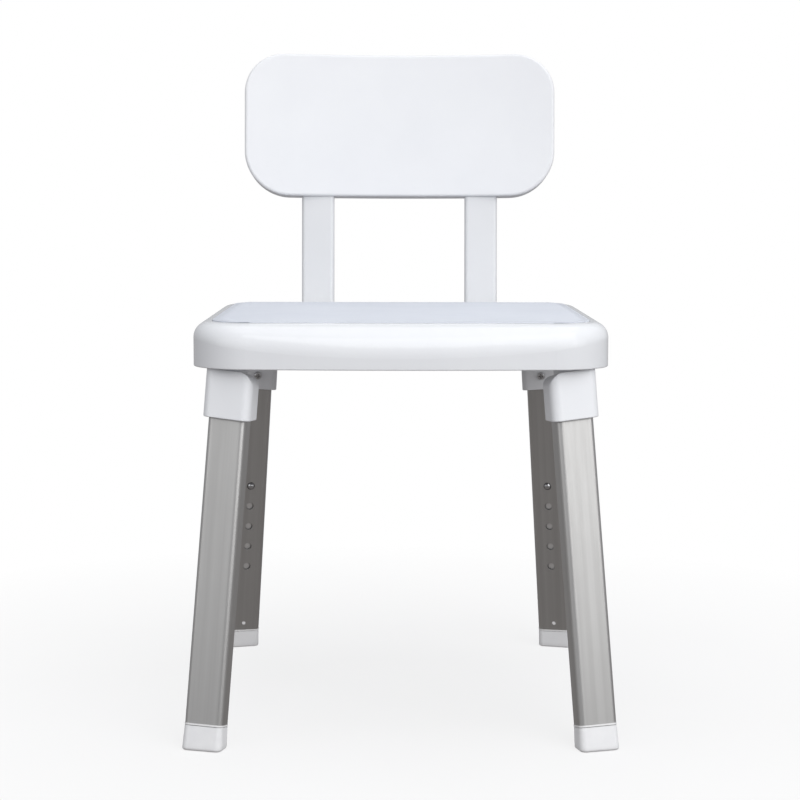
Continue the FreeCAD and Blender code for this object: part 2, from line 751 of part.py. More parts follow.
def spring_clip(corner):
    """Hairpin of flat spring steel inside the inner tube; its inward-facing arm carries the button."""
    body = new_body("spring_clip_" + corner)
    half = "(Sizes.inner_deep / 2 - Sizes.inner_wall - Sizes.clip_gap)"
    thick = "Sizes.clip_thick"
    bend = f"({BUTTON_LEVEL} + Sizes.clip_over)"
    shape = new_sketch(body, "YZ_Plane")
    outer, inner = value(half), value(f"{half} - {thick}")
    level, foot_level = value(bend), value(f"{bend} - Sizes.clip_length")
    centre = FreeCAD.Vector(0, level, 0)
    up = FreeCAD.Vector(0, 0, 1)
    shape.addGeometry(Part.ArcOfCircle(Part.Circle(centre, up, outer), 0, math.pi), False)
    shape.addGeometry(Part.ArcOfCircle(Part.Circle(centre, up, inner), 0, math.pi), False)
    for side in (1, -1):
        ends = [
            FreeCAD.Vector(side * outer, level, 0),
            FreeCAD.Vector(side * outer, foot_level, 0),
            FreeCAD.Vector(side * inner, foot_level, 0),
            FreeCAD.Vector(side * inner, level, 0),
        ]
        for a, b in zip(ends, ends[1:]):
            shape.addGeometry(Part.LineSegment(a, b), False)
    joins = [(0, 1, 2, 1), (2, 2, 3, 1), (3, 2, 4, 1), (4, 2, 1, 1)]
    joins += [(0, 2, 5, 1), (5, 2, 6, 1), (6, 2, 7, 1), (7, 2, 1, 2)]
    for join in joins:
        shape.addConstraint(Sketcher.Constraint("Coincident", *join))
    for upright in (2, 4, 5, 7):
        shape.addConstraint(Sketcher.Constraint("Vertical", upright))
    for flat in (3, 6):
        shape.addConstraint(Sketcher.Constraint("Horizontal", flat))
    dimension(shape, "Radius", 0, to=half)
    dimension(shape, "Radius", 1, to=f"{half} - {thick}")
    for arc in (0, 1):
        shape.addConstraint(Sketcher.Constraint("PointOnObject", arc, 3, -2))
        dimension(shape, "DistanceY", -1, 1, arc, 3, to=bend)
    for flat in (3, 6):
        dimension(shape, "DistanceY", -1, 1, flat, 1, to=f"{bend} - Sizes.clip_length")
    pad(body, shape, "Sizes.clip_wide", both_ways=True)
    rivet = new_sketch(body, "XZ_Plane")
    circle(rivet, "0", BUTTON_LEVEL, "Sizes.rivet_size + 2 * Sizes.clip_gap")
    pocket(body, rivet)
    place_on_leg(body, corner)
    finished(body, "spring_clip_" + corner)


def lock_button(corner):
    """Domed pin with a small rivet stem, turned about the hole's axis."""
    body = new_body("lock_button_" + corner)
    half = new_sketch(body, "YZ_Plane")
    level, radius = value(BUTTON_LEVEL), value("Sizes.button_size / 2")
    rivet, stem = value("Sizes.rivet_size / 2"), value("Sizes.rivet_long")
    shoulder = "Sizes.inner_deep / 2 - Sizes.inner_wall - Sizes.clip_gap / 2"
    rim = "Sizes.tube_deep / 2 + Sizes.button_rim"
    tip = "Sizes.tube_deep / 2 + Sizes.button_proud"
    shoulder_y, rim_y, tip_y = value(shoulder), value(rim), value(tip)
    # profile above the axis, along +Y: stem, shoulder, shank, domed tip
    points = [
        FreeCAD.Vector(shoulder_y - stem, level, 0),
        FreeCAD.Vector(shoulder_y - stem, level + rivet, 0),
        FreeCAD.Vector(shoulder_y, level + rivet, 0),
        FreeCAD.Vector(shoulder_y, level + radius, 0),
        FreeCAD.Vector(rim_y, level + radius, 0),
    ]
    end = FreeCAD.Vector(tip_y, level, 0)
    crown = FreeCAD.Vector(rim_y + (tip_y - rim_y) * DOME_RISE, level + radius * DOME_SPREAD, 0)
    for a, b in zip(points, points[1:]):
        half.addGeometry(Part.LineSegment(a, b), False)
    half.addGeometry(Part.Arc(end, crown, points[-1]), False)
    half.addGeometry(Part.LineSegment(end, points[0]), False)
    for join in ((0, 2, 1, 1), (1, 2, 2, 1), (2, 2, 3, 1), (3, 2, 4, 2), (4, 1, 5, 1), (5, 2, 0, 1)):
        half.addConstraint(Sketcher.Constraint("Coincident", *join))
    for flat in (1, 3, 5):
        half.addConstraint(Sketcher.Constraint("Horizontal", flat))
    for upright in (0, 2):
        half.addConstraint(Sketcher.Constraint("Vertical", upright))
    dimension(half, "DistanceY", -1, 1, 5, 2, to=BUTTON_LEVEL)
    dimension(half, "DistanceY", 5, 1, 3, 2, to="Sizes.button_size / 2")
    dimension(half, "DistanceX", -1, 1, 5, 1, to=tip)
    dimension(half, "DistanceX", -1, 1, 3, 2, to=rim)
    dimension(half, "DistanceX", -1, 1, 3, 1, to=shoulder)
    settle(half)
    turned = body.newObject("PartDesign::Revolution", "Turned")
    turned.Profile = half
    turned.ReferenceAxis = (half, ["Edge6"])
    turned.Angle = 360
    doc.recompute()
    place_on_leg(body, corner)
    finished(body, "lock_button_" + corner)


def socket_sleeve(corner):
    """The sleeve round the outer tube's top: inner shoulder rounded, both ends tipped, hem eased."""
    body = new_body("socket_sleeve_" + corner)
    outline = new_sketch(body, "XY_Plane", "Sizes.socket_floor - Sizes.reach / 2")
    tube_outline(outline, "socket")
    pad(body, outline, "Sizes.socket_ceiling - Sizes.socket_floor + Sizes.reach")

    x, z = "(Sizes.socket_wide / 2 - Sizes.socket_round)", "(Sizes.socket_round_top - Sizes.socket_round)"
    deep = "Sizes.socket_deep"
    high = "Sizes.socket_wide / 2 + Sizes.past", deep, "Sizes.socket_round_top + Sizes.reach / 2"
    square = block("shoulder_" + corner, (x, f"-{deep}", z), high)
    far = value(deep)
    rounding = lying_cylinder("rounding_" + corner, "2 * Sizes.socket_round", value(x), value(z), -far, far)
    shoulder = cut(square, rounding, "shoulder_cut_" + corner)
    body.Placement = facing_in(corner)
    shoulder.Placement = facing_in(corner)
    doc.recompute()

    tilt = -CORNERS[corner][0] * value("Sizes.socket_tilt")
    floor = leg_axis_at(corner, value("Sizes.socket_floor"))
    under = below("socket_under_" + corner, floor, tilt)
    normal = under.Placement.Rotation.multVec(FreeCAD.Vector(0, 0, 1))
    ceiling = leg_axis_at(corner, value("Sizes.socket_ceiling"))
    over = below("socket_over_" + corner, ceiling + normal * value("Sizes.reach"), tilt)
    sleeve = cut(body, fuse([shoulder, under, over], "socket_trim_" + corner), "sleeve_" + corner)
    hem = value("Sizes.socket_hem")

    def at_lower_end(edge):
        ends = [edge.valueAt(edge.FirstParameter), edge.valueAt(edge.LastParameter)]
        level = max(abs((end - floor).dot(normal)) for end in ends) < ON_FLAT
        return (hem, hem) if level else None

    return rounded_edges(sleeve, "sleeve_eased_" + corner, at_lower_end)


def leg_socket(corner):
    """Sleeve round the outer tube's top, with a core and a level plate inside the seat skirt."""
    x, y = plate_centre(corner)
    plate = new_body("socket_plate_" + corner)
    flat = new_sketch(plate, "XY_Plane", "Sizes.plate_level - Sizes.plate_thick")
    tube_outline(flat, "plate")
    pad(plate, flat, "Sizes.plate_thick")
    plate.Placement.Base = FreeCAD.Vector(x, y, 0)
    core = new_body("socket_core_" + corner)
    middle = new_sketch(core, "XY_Plane", "Sizes.socket_ceiling - Sizes.plate_thick", "-Sizes.core_shift")
    tube_outline(middle, "core")
    pad(core, middle, "Sizes.plate_level - Sizes.socket_ceiling + Sizes.reach / 3")
    core.Placement = facing_in(corner)
    doc.recompute()
    whole = fuse([socket_sleeve(corner), core, plate], "socket_whole_" + corner)

    hole = new_body("socket_bore_" + corner)
    bore = new_sketch(hole, "XY_Plane", "Sizes.socket_floor - Sizes.reach")
    tube_outline(bore, "tube", "-Sizes.bush_fit / 2")
    pad(hole, bore, "Sizes.tube_high - Sizes.socket_floor + Sizes.reach")
    cross = new_sketch(hole, "XZ_Plane", "-Sizes.socket_deep")
    circle(cross, "0", "Sizes.tube_screw_level", "Sizes.tube_screw_size")
    pad(hole, cross, "Sizes.socket_deep")
    place_on_leg(hole, corner)
    size = "Sizes.screw_size + Sizes.screw_clear"
    low, high = "Sizes.plate_level - 2 * Sizes.plate_thick", "Sizes.plate_level + Sizes.past"
    drills = [
        cylinder(f"plate_hole_{corner}_{n}", size, low, high, *spot)
        for n, spot in enumerate(plate_screws(corner))
    ]
    hollow = cut(whole, fuse([hole] + drills, "socket_tools_" + corner), "socket_hollow_" + corner)
    lid = FreeCAD.Vector(x, y, value("Sizes.plate_level + Sizes.reach"))
    finished(cut(hollow, below("above_" + corner, lid), "socket_" + corner), "leg_socket_" + corner)


# ---- back posts ------------------------------------------------------------------------------


def post_placement(sign):
    """From an upright post frame, z in seat heights, to the post's leaning place."""
    lean = value("Sizes.post_lean")
    pivot_z = value(SEAT_RIM)
    pivot_y = value("Sizes.seat_deep / 2 + Sizes.post_gap + Sizes.post_deep / 2")
    turned = FreeCAD.Rotation(FreeCAD.Vector(1, 0, 0), -lean)
    spot = FreeCAD.Vector(sign * value("Sizes.post_apart / 2"), pivot_y, pivot_z)
    return FreeCAD.Placement(spot, turned)


def back_post(side):
    """Oval post from the holder up into the backrest, drilled for its bolt and screws."""
    body = new_body("back_post_" + side)
    outline = new_sketch(body, "XY_Plane", f"Sizes.post_low - {SEAT_RIM}")
    tube_outline(outline, "post")
    pad(body, outline, "Sizes.post_high - Sizes.post_low")
    bore = new_sketch(body, "XY_Plane", f"Sizes.post_high - {SEAT_RIM}")
    tube_outline(bore, "post", "Sizes.post_wall")
    pocket(body, bore)
    bolt = new_sketch(body, "XZ_Plane")
    circle(bolt, "0", f"Sizes.bolt_level - {SEAT_RIM}", "Sizes.bolt_size + Sizes.post_room")
    pocket(body, bolt, both_ways=True)
    fixings = new_sketch(body, "XZ_Plane")
    for level in BACK_SCREW_LEVELS:
        circle(fixings, "0", f"{level} - {SEAT_RIM}", "Sizes.screw_size")
    pocket(body, fixings)
    body.Placement = post_placement(SIDES[side])
    doc.recompute()
    finished(body, "back_post_" + side)


def post_plug(side):
    """Plastic plug closing the post's lower end."""
    body = new_body("post_plug_" + side)
    head = new_sketch(body, "XY_Plane", f"Sizes.post_low - {SEAT_RIM} - Sizes.plug_head")
    tube_outline(head, "post")
    pad(body, head, "Sizes.plug_head")
    stem = new_sketch(body, "XY_Plane", f"Sizes.post_low - {SEAT_RIM}")
    tube_outline(stem, "post", "Sizes.post_wall + Sizes.bush_fit")
    pad(body, stem, "Sizes.plug_stem")
    body.Placement = post_placement(SIDES[side])
    doc.recompute()
    finished(body, "post_plug_" + side)


def holder_screws(sign):
    """The four screw places (x, z) of a post holder's flange."""
    x = sign * value("Sizes.post_apart / 2")
    reach = value("Sizes.holder_flange / 2 - Sizes.holder_screw_in")
    low = value(f"{SEAT_RIM} + Sizes.holder_screw_up")
    high = value("Sizes.holder_high - Sizes.holder_screw_up")
    return [(x + side * reach, z) for side in (-1, 1) for z in (low, high)]


def lying_cylinder(label, diameter, x, z, near, far):
    """A cylinder along Y between two y values."""
    made = doc.addObject("Part::Cylinder", label)
    made.setExpression("Radius", f"({diameter}) / 2")
    made.Height = far - near
    spin = FreeCAD.Rotation(FreeCAD.Vector(1, 0, 0), -90)
    made.Placement = FreeCAD.Placement(FreeCAD.Vector(x, near, z), spin)
    return made


def post_holder(side):
    """Moulded holder on the back of the seat skirt; the post slides down into it."""
    sign = SIDES[side]
    sleeve = new_body("holder_sleeve_" + side)
    outline = new_sketch(sleeve, "XY_Plane", f"Sizes.holder_low - {SEAT_RIM}")
    tube_outline(outline, "post", "-Sizes.holder_wall")
    pad(sleeve, outline, "Sizes.holder_high - Sizes.holder_low")
    x = f"{sign} * Sizes.post_apart / 2"
    rear = "Sizes.seat_deep / 2"
    half = "Sizes.holder_flange / 2"
    flange = block(
        "holder_flange_" + side,
        (f"{x} - {half}", rear, f"{SEAT_RIM} + Sizes.past"),
        (f"{x} + {half}", f"{rear} + Sizes.holder_plate", "Sizes.holder_high - Sizes.past"),
    )
    post_hole = new_body("holder_bore_" + side)
    hole = new_sketch(post_hole, "XY_Plane", f"Sizes.post_low - {SEAT_RIM} - Sizes.plug_head")
    tube_outline(hole, "post", "-Sizes.post_room / 3")
    pad(post_hole, hole, "2 * Sizes.reach")
    bolt_hole = new_sketch(post_hole, "XZ_Plane", "-Sizes.reach / 2")
    circle(bolt_hole, "0", f"Sizes.bolt_level - {SEAT_RIM}", "Sizes.bolt_size")
    pad(post_hole, bolt_hole, "Sizes.reach")
    sleeve.Placement = post_placement(sign)
    post_hole.Placement = post_placement(sign)
    doc.recompute()

    behind, past = value(rear), value("Sizes.past")
    far = behind + value("Sizes.holder_plate") + past
    size = "Sizes.screw_size + Sizes.screw_clear"
    drills = [
        lying_cylinder(f"flange_hole_{side}_{n}", size, sx, sz, behind - past, far)
        for n, (sx, sz) in enumerate(holder_screws(sign))
    ]
    whole = fuse([sleeve, flange], "holder_whole_" + side)
    trimmed = cut(whole, fuse([post_hole] + drills, "holder_tools_" + side), "holder_cut_" + side)
    reach = "Sizes.reach"
    inside = block(
        "seat_side_" + side,
        (f"{x} - {reach}", f"{rear} - {reach}", f"{SEAT_RIM} - {reach}"),
        (f"{x} + {reach}", rear, f"{SEAT_RIM} + 2 * {reach}"),
    )
    finished(cut(trimmed, inside, "holder_" + side), "post_holder_" + side)


# ---- backrest --------------------------------------------------------------------------------


def back_placement():
    """The backrest's own frame: origin at its middle, on the posts' axis plane."""
    middle = value("Sizes.back_low + Sizes.back_tall / 2 - Sizes.seat_top + Sizes.seat_skirt")
    on_post = post_placement(0).multVec(FreeCAD.Vector(0, 0, middle))
    return FreeCAD.Placement(on_post, post_placement(0).Rotation)


def curved_layer(label, near, far, inset):
    """Part of the backrest between two depths of its curve, its outline inset."""
    body = new_body(label)
    outline = new_sketch(body, "XZ_Plane", "-Sizes.reach")
    rounded_rectangle(
        outline,
        f"Sizes.back_wide - 2 * ({inset})",
        f"Sizes.back_tall - 2 * ({inset})",
        f"Sizes.back_low_corner - ({inset})",
        f"Sizes.back_top_corner - ({inset})",
    )
    pad(body, outline, "2 * Sizes.reach")
    ring = doc.addObject("Part::Cylinder", label + "_outer_curve")
    core = doc.addObject("Part::Cylinder", label + "_inner_curve")
    for tube, depth in ((ring, far), (core, near)):
        tube.setExpression("Radius", f"Sizes.back_curve + {depth}")
        tube.setExpression("Height", "2 * Sizes.back_tall")
        tube.setExpression("Placement.Base.y", f"{FRONT_DEPTH} - Sizes.back_curve")
        tube.setExpression("Placement.Base.z", "-Sizes.back_tall")
    return common([body, cut(ring, core, label + "_curve")], label + "_layer")


def upright_bar(label, x, low):
    """A thin upright rib across the backrest's whole depth."""
    half = "Sizes.back_rib / 2"
    far = "Sizes.reach"
    return block(label, (f"{x} - {half}", f"-{far}", f"-({low})"), (f"{x} + {half}", far, low))


def back_ribs():
    """Post guides beside both posts, and three stiffeners, trimmed to the room inside the shell."""
    beside = "(Sizes.post_wide / 2 + Sizes.post_room + Sizes.back_rib / 2)"
    guide = "Sizes.back_tall / 2 - Sizes.guide_end_gap"
    bars = []
    for side, sign in SIDES.items():
        for name, edge in (("in", -1), ("out", 1)):
            at = f"({sign} * Sizes.post_apart / 2 + {edge} * {beside})"
            bars.append(upright_bar(f"guide_{side}_{name}", at, guide))
    for name, step in (("mid", 0), ("far_left", -1), ("far_right", 1)):
        bars.append(upright_bar("stiffener_" + name, f"{step} * Sizes.back_stiffener", "Sizes.back_tall / 2"))
    near = "Sizes.back_wall - Sizes.rib_bite"
    far = "Sizes.back_thick - Sizes.cover_thick - Sizes.cover_fit"
    room = curved_layer("back_room", near, far, near)
    return common([room, fuse(bars, "back_bars")], "back_ribs")


def post_slots():
    """The room that both posts take in the backrest, open below."""
    slots = []
    for side, sign in SIDES.items():
        slot = new_body("post_slot_" + side)
        hole = new_sketch(slot, "XY_Plane", "-Sizes.back_tall / 2 - Sizes.slot_end_gap")
        tube_outline(hole, "post", "-Sizes.post_room")
        pad(slot, hole, "Sizes.back_tall - 2 * Sizes.slot_end_gap")
        slot.Placement.Base = FreeCAD.Vector(sign * value("Sizes.post_apart / 2"), 0, 0)
        slots.append(slot)
    doc.recompute()
    return fuse(slots, "post_slots")


def backrest():
    """Front shell with an eased rim and post guides."""
    solid = curved_layer("back_solid", "0", "Sizes.back_thick", "0")
    edge = value("Sizes.back_edge")
    front = value(FRONT_DEPTH)
    curve = value("Sizes.back_curve")

    def on_front(line):
        middle = line.valueAt((line.FirstParameter + line.LastParameter) / 2)
        away = math.hypot(middle.x, middle.y - front + curve) - curve
        return (edge, edge) if abs(away) < ON_CURVE else None

    rimmed = rounded_edges(solid, "back_rimmed", on_front)
    past_back = "Sizes.back_thick + Sizes.well_past"
    hollow = curved_layer("back_hollow", "Sizes.back_wall", past_back, "Sizes.back_wall")
    ribbed = fuse([cut(rimmed, hollow, "back_shell"), back_ribs()], "back_ribbed")
    opened = cut(ribbed, post_slots(), "back_opened")
    opened.Placement = back_placement()
    finished(opened, "backrest_shell")


def backrest_cover():
    """Cover that closes the backrest behind, with sunk screw holes."""
    near = "Sizes.back_thick - Sizes.cover_thick"
    plate = curved_layer("back_plate", near, "Sizes.back_thick", "Sizes.back_wall + Sizes.cover_fit")
    hole = "Sizes.screw_size + Sizes.post_room"
    sink = "Sizes.screw_head + Sizes.past"
    through = value("Sizes.reach / 3")
    holes = []
    for n, (x, z) in enumerate(back_screws()):
        floor = cover_face(x) - value("Sizes.head_sink")
        holes.append(lying_cylinder(f"cover_hole_{n}", hole, x, z, floor - through, floor + through))
        holes.append(lying_cylinder(f"cover_sink_{n}", sink, x, z, floor, floor + through))
    cover = cut(plate, fuse(holes, "cover_holes"), "back_cover")
    cover.Placement = back_placement()
    finished(cover, "backrest_cover")


def cover_face(x):
    """Depth of the backrest's rear surface at a distance from its centre line."""
    radius = value("Sizes.back_curve + Sizes.back_thick")
    return value(f"{FRONT_DEPTH} - Sizes.back_curve") + math.sqrt(radius**2 - x**2)


def back_screws():
    """Places (x, z) of the backrest screws, in the backrest's own frame."""
    middle = value("Sizes.back_low + Sizes.back_tall / 2")
    half = value("Sizes.post_apart / 2")
    return [(sign * half, value(level) - middle) for sign in (-1, 1) for level in BACK_SCREW_LEVELS]


# ---- fasteners -------------------------------------------------------------------------------


def pan_screw(size, head, head_high, length):
    """Pan-head screw along +Z, its head below z = 0 and its shank above, with a cross recess."""
    shank = Part.makeCylinder(size / 2, length)
    cap = Part.makeCylinder(head / 2, head_high, FreeCAD.Vector(0, 0, -head_high))
    rim = [e for e in cap.Edges if e.BoundBox.ZMax < -head_high + 1e-6]
    cap = cap.makeFillet(head_high * HEAD_ROUNDING, rim)
    slot_long, slot_wide = head * CROSS_LONG, head * CROSS_WIDE
    corner = FreeCAD.Vector(-slot_long / 2, -slot_wide / 2, -head_high * (1 + CROSS_DEEP))
    for turn in (0, 90):
        bar = Part.makeBox(slot_long, slot_wide, head_high, corner)
        bar.rotate(FreeCAD.Vector(), FreeCAD.Vector(0, 0, 1), turn)
        cap = cap.cut(bar)
    return shank.fuse(cap).removeSplitter()


def screw_group(label, screw, places):
    """Identical screws as one piece of separate solids."""
    made = []
    for place in places:
        one = screw.copy()
        one.Placement = place
        made.append(one)
    group = doc.addObject("Part::Feature", label)
    group.Shape = Part.makeCompound(made)
    group.Placement = FreeCAD.Placement()
    finished(group, label)


def fasteners():
    """All screws and bolts, one group for each place that they are used in."""
    play = value("Sizes.bush_fit")
    size = value("Sizes.screw_size") - play
    head = value("Sizes.screw_head")
    high = value("Sizes.screw_head_high")
    outward = FreeCAD.Rotation(FreeCAD.Vector(1, 0, 0), 90)

    under = value("Sizes.plate_level - Sizes.plate_thick")
    places = [
        FreeCAD.Placement(FreeCAD.Vector(x, y, under), FreeCAD.Rotation())
        for corner in CORNERS
        for x, y in plate_screws(corner)
    ]
    screw_group("socket_screws", pan_screw(size, head, high, value("Sizes.socket_screw_length")), places)

    level = value("Sizes.tube_screw_level")
    on_face = FreeCAD.Placement(FreeCAD.Vector(0, value("Sizes.socket_deep / 2"), level), outward)
    tube_screw = pan_screw(
        value("Sizes.tube_screw_size") - 2 * play,
        value("Sizes.tube_screw_head"),
        value("Sizes.tube_screw_head_high"),
        value("Sizes.tube_screw_length"),
    )
    places = [leg_placement(corner).multiply(on_face) for corner in CORNERS]
    screw_group("tube_screws", tube_screw, places)

    behind = value("Sizes.seat_deep / 2 + Sizes.holder_plate")
    short_screw = pan_screw(size, head, high, value("Sizes.short_screw_length"))
    places = [
        FreeCAD.Placement(FreeCAD.Vector(x, behind, z), outward)
        for sign in SIDES.values()
        for x, z in holder_screws(sign)
    ]
    screw_group("holder_screws", short_screw, places)

    bolt_z = value(f"Sizes.bolt_level - {SEAT_RIM}")
    face = value("Sizes.post_deep / 2 + Sizes.holder_wall")
    on_holder = FreeCAD.Placement(FreeCAD.Vector(0, face, bolt_z), outward)
    bolt = pan_screw(
        value("Sizes.bolt_size") - play,
        value("Sizes.bolt_head"),
        value("Sizes.bolt_head_high"),
        value("Sizes.bolt_length"),
    )
    places = [post_placement(sign).multiply(on_holder) for sign in SIDES.values()]
    screw_group("post_bolts", bolt, places)

    places = []
    for x, z in back_screws():
        under_head = FreeCAD.Vector(x, cover_face(x) - value("Sizes.head_sink"), z)
        places.append(back_placement().multiply(FreeCAD.Placement(under_head, outward)))
    screw_group("backrest_screws", short_screw, places)


def centre_over_box():
    """Bring the origin under the middle of the chair's overall box, front to back."""
    boxes = [node.Shape.optimalBoundingBox(True, False) for node in nodes]
    middle = (min(box.YMin for box in boxes) + max(box.YMax for box in boxes)) / 2
    print(f"moved {-middle:.4f} mm along Y")
    back = FreeCAD.Placement(FreeCAD.Vector(0, -middle, 0), FreeCAD.Rotation())
    for node in nodes:
        node.Placement = back.multiply(node.Placement)
    doc.recompute()


# ---- the whole chair -------------------------------------------------------------------------

seat()
seat_panel()
for corner in CORNERS:
    leg_socket(corner)
    outer_tube(corner)
    guide_bush(corner)
    inner_tube(corner)
    spring_clip(corner)
    lock_button(corner)
    foot(corner)
for side in SIDES:
    post_holder(side)
    back_post(side)
    post_plug(side)
backrest()
backrest_cover()
fasteners()
doc.recompute()
centre_over_box()

for obj in doc.Objects:
    if {"Invalid", "Error"} & set(obj.State):
        raise RuntimeError(f"{obj.Label} failed: {obj.State}")
for node in nodes:
    if node.Shape.isNull() or not node.Shape.isValid() or not node.Shape.Solids:
        raise RuntimeError(f"{node.Label} has no valid solid")

os.makedirs("parts", exist_ok=True)
for node in nodes:
    node.Shape.exportStep(f"parts/{node.Label}.step")
    volume = node.Shape.Volume / 1000
    print(f"{node.Label}: {len(node.Shape.Solids)} solid, {volume:.1f} cm3")
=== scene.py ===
"""Looks of the shower chair on its CAD frame: materials, ribbed mat, spring clips, studio and camera."""

import json
import math

import bpy
from mathutils import Matrix, Vector


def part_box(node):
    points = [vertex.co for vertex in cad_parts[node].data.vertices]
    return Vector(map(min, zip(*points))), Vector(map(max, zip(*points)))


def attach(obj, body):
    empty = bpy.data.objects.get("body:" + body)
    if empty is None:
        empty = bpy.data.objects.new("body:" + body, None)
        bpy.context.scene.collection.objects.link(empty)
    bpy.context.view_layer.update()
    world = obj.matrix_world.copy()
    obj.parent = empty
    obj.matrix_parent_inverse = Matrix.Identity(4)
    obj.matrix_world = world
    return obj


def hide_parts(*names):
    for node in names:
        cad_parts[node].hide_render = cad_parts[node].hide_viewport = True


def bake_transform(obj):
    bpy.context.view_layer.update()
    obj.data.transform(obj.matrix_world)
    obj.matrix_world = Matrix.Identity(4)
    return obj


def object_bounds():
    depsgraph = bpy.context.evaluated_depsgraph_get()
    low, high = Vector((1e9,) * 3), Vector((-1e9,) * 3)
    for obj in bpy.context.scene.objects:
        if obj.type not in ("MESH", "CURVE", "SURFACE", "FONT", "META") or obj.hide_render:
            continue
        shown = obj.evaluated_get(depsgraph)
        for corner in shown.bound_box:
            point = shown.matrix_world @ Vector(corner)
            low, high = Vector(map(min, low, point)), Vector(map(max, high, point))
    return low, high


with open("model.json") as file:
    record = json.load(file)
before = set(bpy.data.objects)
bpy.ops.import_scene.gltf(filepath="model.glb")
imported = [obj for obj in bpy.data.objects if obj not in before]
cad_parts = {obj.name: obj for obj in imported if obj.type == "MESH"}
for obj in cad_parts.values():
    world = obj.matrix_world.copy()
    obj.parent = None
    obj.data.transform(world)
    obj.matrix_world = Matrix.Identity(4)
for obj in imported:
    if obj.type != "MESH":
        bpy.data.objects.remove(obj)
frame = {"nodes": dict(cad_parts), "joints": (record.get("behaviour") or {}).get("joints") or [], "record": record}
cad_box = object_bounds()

scene = bpy.context.scene
nodes = frame["nodes"]

LEGS = ("front_left", "front_right", "rear_left", "rear_right")

# ---- node helpers --------------------------------------------------------------------------


class Shader:
    """A node material under construction: a Principled surface fed by small procedural graphs."""

    def __init__(self, name, **constants):
        self.material = bpy.data.materials.new(name)
        self.material.use_nodes = True
        self.tree = self.material.node_tree
        self.surface = self.tree.nodes["Principled BSDF"]
        for socket, number in constants.items():
            title = socket.replace("_", " ").title().replace("Ior", "IOR")
            self.surface.inputs[title].default_value = number
        self.place = self.node("ShaderNodeTexCoord").outputs["Object"]

    def node(self, kind, **settings):
        made = self.tree.nodes.new(kind)
        for setting, choice in settings.items():
            setattr(made, setting, choice)
        return made

    def link(self, source, target):
        self.tree.links.new(source, target)

    def noise(self, scale, detail=3.0, roughness=0.5, place=None):
        made = self.node("ShaderNodeTexNoise")
        made.inputs["Scale"].default_value = scale
        made.inputs["Detail"].default_value = detail
        made.inputs["Roughness"].default_value = roughness
        self.link(place or self.place, made.inputs["Vector"])
        return made.outputs["Fac"]

    def spread(self, source, low, high, start=0.3, end=0.7):
        """Maps a noise between two numbers."""
        made = self.node("ShaderNodeMapRange")
        made.inputs["From Min"].default_value = start
        made.inputs["From Max"].default_value = end
        made.inputs["To Min"].default_value = low
        made.inputs["To Max"].default_value = high
        self.link(source, made.inputs["Value"])
        return made.outputs["Result"]

    def mix(self, factor, first, second):
        """Mixes two colours, each a triple or another node's output."""
        made = self.node("ShaderNodeMix", data_type="RGBA")
        self.link(factor, made.inputs["Factor"])
        for socket, colour in (("A", first), ("B", second)):
            target = [i for i in made.inputs if i.name == socket and i.type == "RGBA"][0]
            if isinstance(colour, tuple):
                target.default_value = (*colour, 1.0)
            else:
                self.link(colour, target)
        return [o for o in made.outputs if o.type == "RGBA"][0]

    def bump(self, source, height, strength=1.0, under=None):
        """Bump of a real height in metres, on top of another bump if one is given."""
        made = self.node("ShaderNodeBump")
        made.inputs["Distance"].default_value = height
        made.inputs["Strength"].default_value = strength
        self.link(source, made.inputs["Height"])
        if under:
            self.link(under, made.inputs["Normal"])
        return made.outputs["Normal"]

    def edges(self, radius, low=0.0, high=1.0):
        """About 1 on convex edges and 0 elsewhere, from how far a rounded normal leans from the true one."""
        rounded = self.node("ShaderNodeBevel", samples=4)
        rounded.inputs["Radius"].default_value = radius
        true = self.node("ShaderNodeNewGeometry").outputs["Normal"]
        agree = self.node("ShaderNodeVectorMath", operation="DOT_PRODUCT")
        self.link(rounded.outputs["Normal"], agree.inputs[0])
        self.link(true, agree.inputs[1])
        return self.spread(agree.outputs["Value"], high, low, 0.80, 0.995)

    def painted_shade_mask(self, distance, low=0.0, high=1.0):
        """About 1 in holes, gaps and inner corners and 0 in the open: the mask for painted shade."""
        open_sky = self.node("ShaderNodeAmbientOcclusion", samples=8)
        open_sky.inputs["Distance"].default_value = distance
        return self.spread(open_sky.outputs["AO"], high, low, 0.35, 0.85)

    def finish(self, colour=None, roughness=None, normal=None):
        for socket, source in (("Base Color", colour), ("Roughness", roughness), ("Normal", normal)):
            if source:
                self.link(source, self.surface.inputs[socket])
        return self.material


# painted highlight for the edges of the aluminium tubes
PAINTED_EDGE_HIGHLIGHT = (0.80, 0.80, 0.79)
# painted shade for holes, gaps and inner corners of the aluminium
PAINTED_HOLE_SHADE = (0.10, 0.10, 0.10)
# painted shade for holes, gaps and rims of the steel parts
PAINTED_RIM_SHADE = (0.08, 0.08, 0.08)
SOLE_GREY = (0.52, 0.52, 0.52)


def moulded_plastic(name, pale, dull, gloss, grain, grain_height, specular=0.5):
    """White moulded plastic: clouded colour, uneven gloss, fine grain and painted shade on the edges."""
    made = Shader(name, specular_ior_level=specular, ior=1.49)
    cloud = made.spread(made.noise(9.0, 4.0, 0.55), 0.0, 1.0)
    colour = made.mix(cloud, pale, dull)
    # painted shade: convex edges a little darker
    shaded_edge = made.edges(0.0012)
    colour = made.mix(made.spread(shaded_edge, 0.0, 0.35, 0.0, 1.0), colour, tuple(0.94 * part for part in dull))
    rough = made.spread(made.noise(34.0, 5.0, 0.6), gloss[0], gloss[1])
    fine = made.bump(made.noise(grain, 2.0, 0.5), grain_height)
    normal = made.bump(made.noise(22.0, 2.0, 0.4), 0.00012, 0.5, fine)
    return made.finish(colour, rough, normal)


